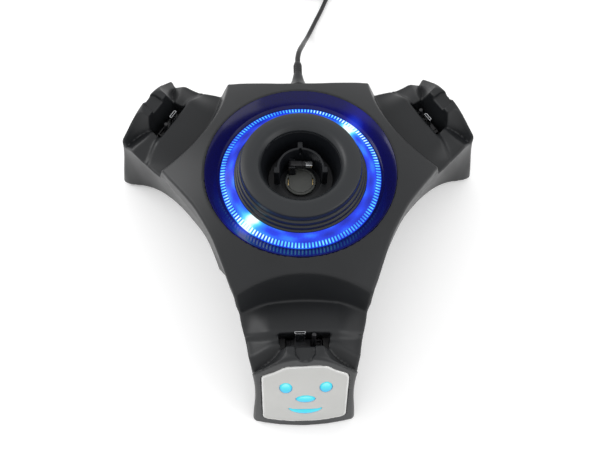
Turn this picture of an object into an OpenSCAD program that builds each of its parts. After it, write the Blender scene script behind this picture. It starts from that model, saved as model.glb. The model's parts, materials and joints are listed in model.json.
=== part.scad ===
// Three-armed charging dock for game controllers, on a round hub with a light ring.
// Front is -Y. Every arm is built along +X and turned into place round the hub's axis.

/* [Arms] */
// Reach of the front arm's foot from the hub's axis
arm_reach = 155.8; // [152:0.1:160]
// Half width of an arm's foot at its outer corners
foot_half = 34.7; // [32:0.1:37]
// Distance from the hub's axis to an arm's outer crest corners
crest_reach = 131.8; // [129:0.1:134]
// Half width of an arm across its crest corners
crest_half = 31.7; // [29:0.1:33]
// Height of the crest corners
crest_z = 74.3; // [72:0.1:77]
// Height of the middle of the crest
crest_top = 89.1; // [86:0.1:91]
// Height of the ridge beside the plug
ridge_z = 74; // [72:0.1:75]
// Half width of the plug's pocket
pocket_half = 16; // [15:0.5:17]

/* [Deck] */
// Height of the dome's crown, if it went on to the hub's axis
deck_crown = 102.2; // [101:0.1:104]
// Radius of the dome
dome_r = 239; // [220:1:260]
// Distance from the hub's axis to the straight walls between the arms
deck_wall = 76.4; // [74:0.1:78]
// Radius of the dish's rim
dish_r = 65; // [63:0.5:66]
// Thickness of the shell
wall = 2.5; // [2:0.1:3]

/* [Hub] */
// Radius of the hub's top edge
hub_r = 40.2; // [39:0.1:41]
// Radius of the hub's base, inside the light ring
hub_base_r = 45.7; // [45:0.1:45.8]
// Height of the hub's top
hub_top = 101.7; // [101:0.1:102.5]
// Radius of the socket's mouth
socket_r = 26.8; // [26:0.1:27.2]
// Inner radius of the shroud round the socket's plug
shroud_r = 14.45; // [14:0.05:15]
// Radius of the contact puck
puck_r = 10.9; // [10:0.1:11.5]

/* [Light ring] */
// Inner radius of the ring
ring_in = 46; // [45.9:0.1:47]
// Outer radius of the ring
ring_out = 55.6; // [54:0.1:56]

/* [Plugs] */
// Width of the metal shell of a plug
plug_w = 6.85; // [6.8:0.05:7]
// Thickness of the metal shell of a plug
plug_t = 1.8; // [1.7:0.05:2]
// Height of a plug's tip above its hinge
plug_tip = 22; // [21:0.5:23]
// Lean of the arm's end face and of the plug, in degrees
lean = 15.5; // [14:0.5:17]
// Distance of a plug from the arm's middle line
plug_off = 2.75; // [2:0.05:3.5]

/* [Lead] */
// Diameter of the lead
cord_d = 4; // [4:0.1:4.2]
// Radius of the coil's outer column of turns
coil_r = 24; // [24:0.5:26]

/* [Base] */
// Height of the rubber feet
foot_h = 2; // [1.5:0.1:2.5]
// Thickness of the bottom cover
cover_t = 2.5; // [2:0.1:3]

/* [Hidden] */
$fn = 96;

gap = 0.2;
slack = 0.05;
eps = 0.5;
tall = 60;
ARMS = [0, 1, 2];
FRONT = 0;
RIGHT = 1;
LEFT = 2;

// The box of the whole dock is centred on the origin, so the hub's axis stands behind it
rear_reach = arm_reach * 0.5 - 3.9 * 0.5 + foot_half * cos(30);
hub_y = (arm_reach - rear_reach) / 2;

// ---------- outlines, for half an arm: [outward, sideways], from the end's middle to the waist
foot_bow = 3.9;
end_foot = arm_reach - foot_bow;
function floor_half(r, w) = [
    [r, 0], [r - 1, w / 2], [end_foot, w], [end_foot - 9, w], [135, 30], [122.6, 26.8],
    [109, 27.6], [96, 30], [79, 36.8], [56, 49], [45.5, 56.5], [37, 64.1]
];
function brow_half(r, w, d) = [
    [r, 0], [r, w / 2], [r, w], [r - 1.5, w + 0.2], [r - 4, w + 1], [121, 35.4],
    [109, 38.4], [96, 41.6], [84, (d - 42) / sin(60) + 2], [58, (d - 29) / sin(60)],
    [46, (d - 23) / sin(60)], [d / 2, d * sin(60)]
];
floor_pts = floor_half(arm_reach, foot_half);
brow_pts = brow_half(crest_reach, crest_half, deck_wall);
HALF = len(floor_pts);

function turn2(p, a) = [p[0] * cos(a) - p[1] * sin(a), p[0] * sin(a) + p[1] * cos(a)];
function arm_angle(k) = -90 + 120 * k;
function arm_ring(half) = concat(
    [for (i = [HALF - 1:-1:1]) [half[i][0], -half[i][1]]],
    [for (i = [0:HALF - 2]) half[i]]
);
function ring_of(half) = [
    for (k = ARMS) for (p = arm_ring(half)) turn2(p, arm_angle(k))
];
// A closed outline moved inwards by t
function inset(r, t) = [
    for (i = [0:len(r) - 1])
        let (n = len(r), d = r[(i + 1) % n] - r[(i + n - 1) % n])
        r[i] + t / norm(d) * [-d[1], d[0]]
];

module at_hub() { translate([0, hub_y, 0]) children(); }
module at_arm(k) { at_hub() rotate([0, 0, arm_angle(k)]) children(); }
// A drawing in (outward, up), given a width across the arm
module across_arm(w) { rotate([90, 0, 0]) linear_extrude(w, center = true) children(); }
// A drawing in (sideways, up), given a depth along the arm
module along_arm(d) { rotate([90, 0, 90]) linear_extrude(d) children(); }

// A solid through rings of the same number of points; each entry is [ring, height]
module loft(levels) {
    n = len(levels[0][0]);
    top = len(levels) - 1;
    polyhedron(
        points = [for (l = levels) for (p = l[0]) [p[0], p[1], l[1]]],
        faces = concat(
            [[for (i = [0:n - 1]) i]],
            [[for (i = [n - 1:-1:0]) top * n + i]],
            [for (j = [0:top - 1]) for (i = [0:n - 1])
                let (a = j * n, b = a + n, k = (i + 1) % n) each [[a + i, b + i, b + k], [a + i, b + k, a + k]]]
        ),
        convexity = 6
    );
}

// ---------- the shell
trough_top = 74.5;
crest_drop = crest_top - crest_z;
pocket_in = 108.5;
pocket_out = 119;
pocket_mid = (pocket_in + pocket_out) / 2;
pocket_floor = 60;
boss_r = 3.5;
boss_hole = 1.6;
BOSS_SPOTS = [[62, 26], [62, -26], [96, 12]];
BOSSES = [for (k = ARMS) for (p = BOSS_SPOTS) [k, p]];
DISH_FLOOR_R = 56.2;
dish_rim_z = deck_crown - dish_r * dish_r / 2 / dome_r;

module trough_outline() {
    polygon([
        [trough_top, 130], [trough_top, 90.3], [79, 76], [85, 67.5], [96, 70], [104, 73],
        [107.5, ridge_z], [111, 66], [118, 65], [crest_reach + 3, crest_z + 1.6], [160, 76], [160, 130]
    ]);
}
module shoulder_outline() {
    polygon([[21.8, ridge_z + 0.1], [46, 60], [60, 60], [60, 130], [21.8, 130]]);
}
function crest_line(w, top, drop) = [
    [-w, top - drop], [-0.8 * w, top - 0.77 * drop], [-0.57 * w, top - 0.41 * drop],
    [-0.38 * w, top - 0.15 * drop], [-0.16 * w, top - 0.03 * drop], [0.16 * w, top - 0.03 * drop],
    [0.38 * w, top - 0.15 * drop], [0.57 * w, top - 0.41 * drop], [0.8 * w, top - 0.77 * drop],
    [w, top - drop], [w, 62], [-w, 62]
];
// The crest block at one side (s is 1 or -1), from its leaning outer edge to its inner one
module crest_side(t, s) {
    hull() {
        end_face(t + eps) along_arm(eps) intersection() {
            polygon(crest_line(crest_half - 0.4 - t, crest_top + 0.6 - t, crest_drop));
            translate([s * (tall / 2 - eps), tall]) square([tall, 2 * tall], center = true);
        }
        translate([119 + t, 0, 0]) along_arm(eps)
            polygon([[-s * eps, 66.3], [s * 15, 66.3], [s * (11.5 - t), 85.4 - t], [-s * eps, 85.6 - t]]);
    }
}
module dock_solid(t, z0) {
    difference() {
        at_hub() intersection() {
            loft([
                [inset(ring_of(floor_pts), t), z0], [inset(ring_of(brow_pts), t), crest_z],
                [inset(ring_of(brow_pts), t), crest_z + tall]
            ]);
            translate([0, 0, deck_crown - dome_r]) sphere(dome_r - t, $fn = 120);
        }
        for (k = ARMS) at_arm(k) across_arm(120) offset(delta = t) trough_outline();
        for (k = ARMS) at_arm(k) translate([88, 0, 0]) along_arm(50) offset(delta = t) shoulder_outline();
        for (k = ARMS) at_arm(k) translate([88, 0, 0]) mirror([0, 1, 0])
            along_arm(50) offset(delta = t) shoulder_outline();
    }
    for (k = ARMS) for (s = [-1, 1]) at_arm(k) crest_side(t, s);
}
module pocket_block(t, z0) {
    translate([pocket_in - t, -pocket_half - t, z0])
        cube([pocket_out - pocket_in + 2 * t, 2 * (pocket_half + t), 2 * tall]);
}
module thumb_channel() {
    translate([119.7, 0, ridge_z]) cylinder(h = tall, r = 6.1);
    translate([112, -6.1, ridge_z]) cube([7.7, 12.2, tall]);
}
plate_seat = 1.6;
module end_face(depth) {
    translate([crest_reach, 0, crest_z]) rotate([0, -lean, 0]) translate([-depth, 0, -crest_z]) children();
}
module shell_inside() {
    difference() {
        dock_solid(wall, -1);
        for (k = ARMS) at_arm(k) pocket_block(wall, pocket_floor);
        for (b = BOSSES) at_arm(b[0]) translate([b[1][0], b[1][1], foot_h + cover_t + gap])
            cylinder(h = 2 * tall, r = boss_r, $fn = 32);
        at_hub() difference() {
            translate([0, 0, dish_floor_z - 3]) cylinder(h = tall, r = dish_r + wall);
            cylinder(h = 2 * tall, r = DISH_FLOOR_R);
        }
    }
}
dish_floor_z = 84;
bezel_low = [ring_out + 2.2, dish_floor_z - 1.2];
bezel_high = [dish_r + 0.1, dish_rim_z - 1.4];
// Room for the bezel, with a gap all round it
module dish_cut() {
    cylinder(h = 2 * tall, r = bezel_low[0] + gap);
    translate([0, 0, bezel_low[1]])
        cylinder(h = bezel_high[1] - bezel_low[1], r1 = bezel_low[0] + gap, r2 = bezel_high[0] + gap);
    translate([0, 0, bezel_high[1]]) cylinder(h = tall, r = bezel_high[0] + gap);
}
module top_shell() {
    color([0.23, 0.24, 0.26]) difference() {
        dock_solid(0, foot_h);
        shell_inside();
        at_hub() dish_cut();
        for (k = ARMS) at_arm(k) pocket_block(0, -1);
        for (k = ARMS) at_arm(k) thumb_channel();
        for (b = BOSSES) at_arm(b[0]) translate([b[1][0], b[1][1], 0])
            cylinder(h = foot_h + cover_t + 14, r = boss_hole, $fn = 24);
        at_arm(FRONT) plate_solid(plate_seat, gap);
        at_arm(FRONT) end_face(window_cut) along_arm(window_cut + 8) window_shapes(-0.6);
        at_hub() translate([0, deck_wall - 12, spout_z]) rotate([-90, 0, 0]) cylinder(h = 20, r = 4.2);
    }
}

// ---------- indicator plate, in the front arm's leaning end face: [sideways, height]
PLATE = [
    [-28.4, 13], [-26.8, 66.8], [-24.6, 69.4], [-13.6, 78.1], [-6, 79.2], [8, 79.6], [14, 78.4],
    [20, 73], [26.4, 69], [27, 66], [28.6, 15], [26, 11.5], [8, 9.8], [-8, 9.6], [-25.6, 10.4]
];
EYE = [12.8, 53.7];
EYE_SIZE = [4.1, 6.5];
NOSE = [0.6, 39.6];
NOSE_SIZE = [6.5, 4.5];
MOUTH = [0.6, 27.8];
mouth_w = 11.6;
mouth_drop = 8;
lip_drop = 1.8;
window_t = 1.2;
window_cut = 3.2;
// A height as it is measured up the leaning face
function up_face(z) = crest_z + (z - crest_z) / cos(lean);
function on_face(outline) = [for (p = outline) [p[0], up_face(p[1])]];
function oval(c, w, h) = [for (i = [0:47]) c + [w * cos(i * 7.5), h * sin(i * 7.5)]];
function arc_down(c, w, h, from, to) =
    [for (a = [from:sign(to - from) * 11.25:to]) c + [w * cos(a), h * sin(a)]];
// The mouth's tips are sharp, so its own sizes change faster than the gap round it does
function mouth(grow) =
    let (c = MOUTH + [0, 3 * grow], w = mouth_w + 3 * grow)
    concat(arc_down(c, w, mouth_drop + 4 * grow, 180, 360), arc_down(c, w, lip_drop, 348, 190));
module plate_solid(depth, grow) {
    end_face(depth - 0.4) along_arm(depth + 6) offset(delta = grow) polygon(on_face(PLATE));
}
module window_shapes(grow) {
    for (s = [-1, 1])
        polygon(on_face(oval([s * EYE[0], EYE[1]], EYE_SIZE[0] + grow, EYE_SIZE[1] + grow)));
    polygon(on_face(oval(NOSE, NOSE_SIZE[0] + grow, NOSE_SIZE[1] + grow)));
    polygon(on_face(mouth(grow)));
}
module indicator_plate() {
    color([0.74, 0.74, 0.72]) at_arm(FRONT) difference() {
        end_face(plate_seat - 0.4) along_arm(plate_seat) polygon(on_face(PLATE));
        end_face(plate_seat + 1) along_arm(2 * plate_seat + 2) window_shapes(0);
    }
}
module indicator_windows() {
    color([0.1, 0.6, 0.75]) at_arm(FRONT)
        end_face(plate_seat - 0.4) along_arm(window_t) window_shapes(-gap);
}
module indicator_board() {
    color([0.1, 0.3, 0.2]) at_arm(FRONT) end_face(12) along_arm(1.6)
        translate([-18, up_face(20)]) square([36, 40]);
}
module indicator_lamps() {
    color("white") at_arm(FRONT) for (p = [EYE, [-EYE[0], EYE[1]], NOSE, MOUTH + [0, 3]])
        end_face(10.4) translate([0, p[0] - 1.6, up_face(p[1]) - 1.6]) cube([1.6, 3.2, 3.2]);
}

// ---------- bottom cover, feet and screws
function foot_spots(r, w) = [for (k = ARMS) for (s = [-1, 1]) [k, [r, s * w]]];
FEET = foot_spots(141, 22);
foot_r = 7;
screw_head_r = 3.1;
screw_head_h = 1.6;
module bottom_cover() {
    color([0.12, 0.12, 0.13]) difference() {
        union() {
            at_hub() translate([0, 0, foot_h])
                linear_extrude(cover_t) polygon(inset(ring_of(floor_pts), wall + 2.2));
            at_hub() board_posts();
        }
        for (b = BOSSES) at_arm(b[0]) translate([b[1][0], b[1][1], 0]) {
            cylinder(h = 20, r = boss_hole + 0.1, $fn = 32);
            cylinder(h = foot_h + screw_head_h, r = screw_head_r + 0.2, $fn = 32);
        }
    }
}
module rubber_feet() {
    color([0.06, 0.06, 0.06]) for (f = FEET) at_arm(f[0]) translate([f[1][0], f[1][1], 0]) {
        cylinder(h = 0.6, r1 = foot_r - 0.6, r2 = foot_r);
        translate([0, 0, 0.6]) cylinder(h = foot_h - 0.6, r = foot_r);
    }
}
module screw(r, head_r, head_h, len) {
    difference() {
        cylinder(h = head_h, r = head_r, $fn = 32);
        translate([-0.3, -1.8, -1]) cube([0.6, 3.6, 1.6]);
        translate([-1.8, -0.3, -1]) cube([3.6, 0.6, 1.6]);
    }
    translate([0, 0, head_h - 0.1]) cylinder(h = len, r = r, $fn = 24);
}
module cover_screws() {
    color([0.6, 0.6, 0.62]) for (b = BOSSES) at_arm(b[0]) translate([b[1][0], b[1][1], foot_h])
        screw(boss_hole - 0.1, screw_head_r, screw_head_h, 12);
}

// ---------- dish, light ring and hub
module dish_bezel() {
    color([0.05, 0.06, 0.09]) at_hub() rotate_extrude($fn = 144) polygon([
        [ring_out + 0.3, dish_floor_z - 2.2], [ring_out + 0.3, dish_floor_z + 0.2],
        [ring_out + 2.2, dish_floor_z + 1.4], [dish_r, dish_rim_z], bezel_high, bezel_low,
        [ring_out + 2.2, dish_floor_z - 2.2]
    ]);
}
ring_slope = 2.9;
module light_ring() {
    color([0.1, 0.25, 0.85]) at_hub() rotate_extrude($fn = 144) polygon([
        [ring_in, 81.5], [ring_out, 81.5], [ring_out, dish_floor_z + 0.3],
        [ring_in, dish_floor_z + 0.3 + ring_slope]
    ]);
}
module ring_board() {
    color([0.1, 0.3, 0.2]) at_hub() difference() {
        translate([0, 0, 74.4]) cylinder(h = 1.6, r = ring_out - 0.5);
        translate([0, 0, 74]) cylinder(h = 3, r = ring_in + 0.3);
    }
}
LAMPS = [46, 227];
module ring_lamps() {
    color("white") at_hub() for (a = LAMPS) rotate([0, 0, a])
        translate([(ring_in + ring_out) / 2 - 1.75, -1.4, 76]) cube([3.5, 2.8, 1.9]);
}
flange_z = 74.2;
module hub_collar() {
    color([0.25, 0.26, 0.28]) at_hub() {
        rotate_extrude($fn = 144) polygon([
            [hub_base_r, flange_z], [hub_base_r, 87.4], [hub_r + 4.1, 87.9], [hub_r + 3.9, 90.4],
            [hub_r + 2.6, 90.9], [hub_r + 2.4, 94.2], [hub_r + 1.1, 94.7], [hub_r + 0.6, 98.6],
            [hub_r, 100.1], [31.65, hub_top], [socket_r, 98], [socket_r, 96.6], [29.4, 96.6],
            [29.4, 91], [37, 89], [42, 84], [42, flange_z - 2.2], [58.5, flange_z - 2.2],
            [58.5, dish_floor_z - 3], [56.9, dish_floor_z - 3], [56.9, flange_z]
        ]);
    }
}
cup_floor = 73;
groove_z = 78;
rib_top = 93.5;
rib_w = 3.6;
shroud_t = 1.8;
shank_r = 5;
blade_x = 8.6;
// The plug folds about Y, on a pin behind the puck
fold_x = -6;
fold_y = 9.2;
fold_z = 82;
fold_r = 2.6;
module hub_cup() {
    color([0.08, 0.1, 0.13]) at_hub() difference() {
        union() {
            rotate_extrude($fn = 144) polygon([
                [0, cup_floor - 2.5], [0, cup_floor], [shroud_r, cup_floor],
                [shroud_r, groove_z], [22, groove_z], [socket_r, 96.4], [29.1, 96.4],
                [29.1, 93], [24.5, cup_floor - 2.5]
            ]);
            difference() {
                translate([0, 0, cup_floor]) cylinder(h = rib_top - cup_floor, r = shroud_r + shroud_t);
                translate([0, 0, cup_floor]) cylinder(h = tall, r = shroud_r);
                translate([-30, -30, cup_floor]) cube([60, 28, tall]);
            }
            translate([-rib_w / 2, shroud_r, cup_floor]) cube([rib_w, 6, rib_top - cup_floor]);
            for (s = [-1, 1]) translate([s * (shroud_r + 1.9) - 1.9, -4, cup_floor])
                cube([3.8, 4.5, rib_top - cup_floor]);
            for (y = [fold_y - 3.9, fold_y + 2.4]) translate([fold_x - 2.4, y, cup_floor])
                cube([4.8, 1.5, fold_z - cup_floor + 2.2]);
        }
        translate([0, 0, cup_floor - 3]) cylinder(h = 10, r = shank_r + gap);
        blade_slots(cup_floor - 4);
        translate([fold_x, fold_y - 5, fold_z]) rotate([-90, 0, 0])
            cylinder(h = 10, r = 1 + slack, $fn = 32);
        translate([-0.9, shroud_r - 0.5, 87]) cube([1.8, 1.2, tall]);
    }
}
module blade_slots(z0) {
    for (s = [-1, 1]) translate([s * blade_x - 0.45, -3, z0]) cube([0.9, 6, 20]);
}
module contact_puck() {
    color([0.42, 0.43, 0.41]) at_hub() difference() {
        union() {
            translate([0, 0, cup_floor]) cylinder(h = 1.2, r = puck_r);
            translate([0, 0, cup_floor + 1.2]) cylinder(h = 0.9, r1 = puck_r, r2 = puck_r - 1);
            translate([0, 0, cup_floor - 6]) cylinder(h = 6.5, r = shank_r);
        }
        blade_slots(cup_floor - 1);
        translate([fold_x - 2.4 - gap, fold_y - 3.9 - gap, cup_floor - 1])
            cube([4.8 + 2 * gap, 1.5 + 2 * gap, 9]);
    }
}
module contact_blades() {
    color([0.8, 0.65, 0.3]) at_hub() for (s = [-1, 1])
        translate([s * blade_x - 0.25, -2.5, cup_floor - 5.5]) cube([0.5, 5, 6]);
}
module hub_plug_carrier() {
    color([0.07, 0.07, 0.08]) at_hub() translate([fold_x, fold_y, fold_z]) difference() {
        union() {
            rotate([90, 0, 0]) cylinder(h = 4.2, r = fold_r, center = true, $fn = 48);
            translate([0, -2.1, -2.2]) cube([9.5, 4.2, 4.4]);
        }
        rotate([90, 0, 0]) cylinder(h = 10, r = 1 + slack, center = true, $fn = 32);
    }
}
module hub_plug_shell() {
    color([0.8, 0.8, 0.82]) at_hub() translate([fold_x + 9.5, fold_y, fold_z]) difference() {
        translate([0, -1.9, -1.6]) cube([5, 3.8, 3.2]);
        translate([1, -1.5, -1.2]) cube([5, 3, 2.4]);
    }
}
module hub_hinge_pin() {
    color([0.6, 0.6, 0.62]) at_hub() translate([fold_x, fold_y, fold_z]) rotate([90, 0, 0])
        cylinder(h = 7.8, r = 1, center = true, $fn = 32);
}

// ---------- electronics inside
board_z = 34;
BOARD_POSTS = [[45, 30], [45, -30], [-45, 30], [-45, -30]];
module main_board() {
    color([0.1, 0.3, 0.2]) at_hub() difference() {
        translate([-52, -37, board_z]) cube([104, 74, 1.6]);
        for (p = BOARD_POSTS) translate([p[0], p[1], board_z - 5]) cylinder(h = 20, r = 1.7, $fn = 32);
    }
}
module main_board_parts() {
    color([0.1, 0.1, 0.1]) at_hub() translate([0, 0, board_z + 1.6]) {
        for (x = [-30, 0, 30]) translate([x - 5, 4, 0]) cube([10, 10, 2]);
        for (x = [-30, 0, 30]) translate([x - 5, -12, 0]) cube([10, 10, 4]);
        for (x = [-20, 20]) translate([x, -24, 0]) cylinder(h = 11, r = 4);
        translate([-8, 24, 0]) cube([16, 8, 6]);
    }
}
module board_posts() {
    for (p = BOARD_POSTS) translate([p[0], p[1], foot_h + cover_t]) difference() {
        cylinder(h = board_z - foot_h - cover_t, r = 3.2, $fn = 32);
        translate([0, 0, 12]) cylinder(h = tall, r = 1.3, $fn = 32);
    }
}
module board_screws() {
    color([0.6, 0.6, 0.62]) at_hub() for (p = BOARD_POSTS)
        translate([p[0], p[1], board_z + 1.6 + 1.5]) mirror([0, 0, 1]) screw(1.2, 2.6, 1.5, 9);
}
wire_r = 1.1;
wire_z = 41;
wire_end = 106;
WIRE_START = [34, 0];
module inner_wires() {
    color([0.7, 0.15, 0.12]) for (k = ARMS) at_arm(k) translate(WIRE_START) {
        translate([0, 0, board_z + 1.6]) cylinder(h = wire_z - board_z - 1.6, r = wire_r, $fn = 24);
        translate([0, 0, wire_z]) sphere(wire_r, $fn = 24);
        translate([0, 0, wire_z]) rotate([0, 90, 0])
            cylinder(h = wire_end - WIRE_START[0], r = wire_r, $fn = 24);
    }
}

// ---------- one plug assembly, hinged under its pocket
hinge_a = crest_reach - 16.6;
hinge_z = 56.8;
carrier_half = 11.5;
carrier_t = 3.6;
carrier_top = 8;
trunnion_r = 1.5;
post_b = 6;
module at_hinge(k) { at_arm(k) translate([hinge_a, 0, hinge_z]) rotate([0, -lean, 0]) children(); }
bracket_half = pocket_half + 2.5;
bracket_screw_b = 12.8;
module plug_bracket(k) {
    color([0.1, 0.1, 0.11]) at_arm(k) difference() {
        union() {
            translate([pocket_in - 2, -bracket_half, 46]) cube([15, 2 * bracket_half, 2]);
            for (s = [-1, 1]) translate([pocket_in - 2, s * 14.6 - 2.4, 47])
                cube([15, 4.8, pocket_floor - 47.2]);
            for (s = [-1, 1]) translate([pocket_in - 2, s * (bracket_half - 2) - 2, 47])
                cube([15, 4, pocket_floor - 47.2]);
        }
        translate([hinge_a, 0, hinge_z]) rotate([90, 0, 0])
            cylinder(h = 31, r = trunnion_r + slack, center = true, $fn = 48);
        for (s = [-1, 1]) translate([pocket_mid, s * bracket_screw_b, 44])
            cylinder(h = 6, r = 0.9 + gap, $fn = 32);
    }
}
module plug_carrier(k) {
    color([0.05, 0.05, 0.06]) at_hinge(k) {
        difference() {
            translate([-carrier_t, -carrier_half, -5])
                cube([2 * carrier_t, 2 * carrier_half, carrier_top + 5]);
            translate([-carrier_t + 1.2, plug_off + 1.2, carrier_top - 3])
                cube([2 * carrier_t - 2.4, 6.4, 4]);
        }
        translate([0, post_b, carrier_top - 3]) cylinder(h = plug_tip - carrier_top + 1, r = 1.4, $fn = 32);
        rotate([90, 0, 0]) cylinder(h = 2 * (carrier_half + 3.4), r = trunnion_r, center = true, $fn = 48);
    }
}
module plug_shell(k) {
    color([0.8, 0.8, 0.82]) at_hinge(k) translate([0, -plug_off, carrier_top]) difference() {
        translate([-plug_t / 2, -plug_w / 2, 0]) cube([plug_t, plug_w, plug_tip - carrier_top]);
        translate([-plug_t / 2 + 0.3, -plug_w / 2 + 0.3, 4])
            cube([plug_t - 0.6, plug_w - 0.6, plug_tip]);
    }
}
module plug_tongue(k) {
    color([0.1, 0.1, 0.1]) at_hinge(k) translate([0, -plug_off, carrier_top + 4])
        translate([-0.35, -2.6, 0]) cube([0.7, 5.2, plug_tip - carrier_top - 5]);
}
module plug_board(k) {
    color([0.1, 0.3, 0.2]) at_arm(k) translate([pocket_in - 1, -10, 44.4]) cube([13, 20, 1.6]);
}
module bracket_screws() {
    color([0.6, 0.6, 0.62]) for (k = ARMS) for (s = [-1, 1])
        at_arm(k) translate([pocket_mid, s * bracket_screw_b, 44.3]) screw(0.9, 1.8, 1.6, 1.5);
}

// ---------- lead
spout_z = 78.5;
spout_y = 74.4;
spout_end = 92;
boot_end = 104;
cord_r = cord_d / 2;
coil_x = 18;
coil_y = 311;
coil_in = coil_r - cord_d;
coil_rows = 3;
// Hand-laid route of the lead's centre, from the boot to the coil
LEAD = [
    [0, 129, 78.5], [0.3, 135, 78.2], [1.3, 142, 76.2], [2.6, 150, 71.2], [4.1, 160, 63.5], [5.5, 172, 53],
    [6.6, 184, 42], [7.7, 196, 31], [8.8, 207, 21], [10.2, 217, 12.6], [12, 226, 6.6], [14.2, 234, 3.2],
    [17.5, 243, 2], [21.2, 252, 2], [25, 261, 2], [28.6, 270, 2], [32, 279, 2], [35.2, 287, 2],
    [38.2, 295, 2], [40.5, 302.5, 2]
];
// From the coil's top row down to the plug
TAIL = [
    [20.1, 287.1, 10], [26, 287.8, 9.7], [33, 288.9, 8.8], [40, 290.6, 7], [47, 293, 5.2], [54, 296, 4.2],
    [61, 299.2, 4]
];
tail_heading = 24;
SIDES = 10;
function tangent(path, i) =
    let (d = path[min(i + 1, len(path) - 1)] - path[max(i - 1, 0)]) d / norm(d);
function sweep_ring(path, i, r) =
    let (t = tangent(path, i), s = cross(t, [0, 0, 1]), u = s / norm(s), v = cross(u, t))
    [for (j = [0:SIDES - 1]) path[i] + r * (cos(j * 360 / SIDES) * u + sin(j * 360 / SIDES) * v)];
module tube(path, r) {
    n = len(path);
    polyhedron(
        points = [for (i = [0:n - 1]) each sweep_ring(path, i, r)],
        faces = concat(
            [[for (j = [0:SIDES - 1]) SIDES - 1 - j]],
            [[for (j = [0:SIDES - 1]) (n - 1) * SIDES + j]],
            [for (i = [0:n - 2]) for (j = [0:SIDES - 1])
                let (a = i * SIDES + j, b = i * SIDES + (j + 1) % SIDES) [a, b, b + SIDES]],
            [for (i = [0:n - 2]) for (j = [0:SIDES - 1])
                let (a = i * SIDES + j, b = i * SIDES + (j + 1) % SIDES) [a, b + SIDES, a + SIDES]]
        )
    );
}
module cord_spout() {
    color([0.2, 0.21, 0.23]) at_hub() translate([0, spout_y, spout_z]) rotate([-90, 0, 0]) difference() {
        rotate_extrude($fn = 96) polygon([
            [0, -2.4], [4, -2.4], [4, 2.4], [9.5, 2.6], [7.6, 5], [6.15, 7.6], [5, 10.5], [4.2, 14], [3.6, 17.6],
            [0, 17.6]
        ]);
        translate([0, 0, -4]) cylinder(h = 30, r = cord_r + 0.1, $fn = 48);
    }
}
module cord_boot() {
    color([0.05, 0.05, 0.05]) translate([0, hub_y + spout_end, spout_z]) rotate([-90, 0, 0]) difference() {
        rotate_extrude($fn = 64) polygon([
            [0, 0], [3.3, 0], [3.3, 8.5], [2.9, 11], [2.5, boot_end - spout_end], [0, boot_end - spout_end]
        ]);
        translate([0, 0, -1]) cylinder(h = 9, r = cord_r + 0.1, $fn = 48);
    }
}
module cord_clamp() {
    color([0.5, 0.5, 0.5]) at_hub() translate([0, spout_y - 6.3, spout_z]) rotate([-90, 0, 0]) difference() {
        translate([-5, -4, 0]) cube([10, 8, 3.6]);
        translate([0, 0, -1]) cylinder(h = 8, r = cord_r + 0.1, $fn = 48);
    }
}
module power_cord() { color([0.04, 0.04, 0.04]) tube(LEAD, cord_r); }
module cord_tail() { color([0.04, 0.04, 0.04]) tube(TAIL, cord_r); }
module cord_coil() {
    color([0.04, 0.04, 0.04]) translate([coil_x, coil_y, 0]) rotate_extrude($fn = 96) polygon([
        [coil_in - cord_r, 0.6], [coil_in - cord_r + 0.6, 0], [coil_r + cord_r - 0.6, 0],
        [coil_r + cord_r, 0.6], [coil_r + cord_r, coil_rows * cord_d - 0.6],
        [coil_r + cord_r - 0.6, coil_rows * cord_d], [coil_in - cord_r + 0.6, coil_rows * cord_d],
        [coil_in - cord_r, coil_rows * cord_d - 0.6]
    ]);
}
tie_w = 3;
tie_t = 0.8;
module cord_tie() {
    mid = (coil_in + coil_r) / 2;
    w = coil_r - coil_in + cord_d;
    h = coil_rows * cord_d;
    color([0.1, 0.1, 0.1]) translate([coil_x, coil_y, 0]) rotate([0, 0, 110]) difference() {
        translate([mid - w / 2 - tie_t, -tie_w / 2, 0]) cube([w + 2 * tie_t, tie_w, h + tie_t]);
        translate([mid - w / 2, -tie_w, -1]) cube([w, 2 * tie_w, h + 1]);
    }
}
grip_l = 26;
module at_tail_end() {
    translate(TAIL[len(TAIL) - 1]) rotate([0, 0, tail_heading]) children();
}
module usb_plug_grip() {
    color([0.05, 0.05, 0.05]) at_tail_end() {
        rotate([0, 90, 0]) cylinder(h = 7, r1 = 2.5, r2 = 3.3, $fn = 48);
        translate([7, -7.6, -4]) cube([grip_l - 7, 15.2, 8]);
    }
}
module usb_plug_shell() {
    color([0.8, 0.8, 0.82]) at_tail_end() translate([grip_l, 0, 0]) difference() {
        translate([0, -6, -2.25]) cube([12, 12, 4.5]);
        translate([0.5, -5.7, -1.95]) cube([13, 11.4, 3.9]);
    }
}
module usb_plug_tongue() {
    color([0.9, 0.9, 0.9]) at_tail_end() translate([grip_l + 0.5, -5.4, 0]) cube([10.8, 10.8, 1.9]);
}

top_shell();
dish_bezel();
bottom_cover();
rubber_feet();
cover_screws();
hub_collar();
hub_cup();
contact_puck();
contact_blades();
hub_plug_carrier();
hub_plug_shell();
hub_hinge_pin();
light_ring();
ring_board();
ring_lamps();
main_board();
main_board_parts();
board_screws();
inner_wires();
plug_bracket(FRONT);  // front_plug_bracket
plug_bracket(RIGHT);  // right_plug_bracket
plug_bracket(LEFT);  // left_plug_bracket
plug_carrier(FRONT);  // front_plug_carrier
plug_carrier(RIGHT);  // right_plug_carrier
plug_carrier(LEFT);  // left_plug_carrier
plug_shell(FRONT);  // front_plug_shell
plug_shell(RIGHT);  // right_plug_shell
plug_shell(LEFT);  // left_plug_shell
plug_tongue(FRONT);  // front_plug_tongue
plug_tongue(RIGHT);  // right_plug_tongue
plug_tongue(LEFT);  // left_plug_tongue
plug_board(FRONT);  // front_plug_board
plug_board(RIGHT);  // right_plug_board
plug_board(LEFT);  // left_plug_board
bracket_screws();
indicator_plate();
indicator_windows();
indicator_board();
indicator_lamps();
cord_spout();
cord_boot();
cord_clamp();
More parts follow.
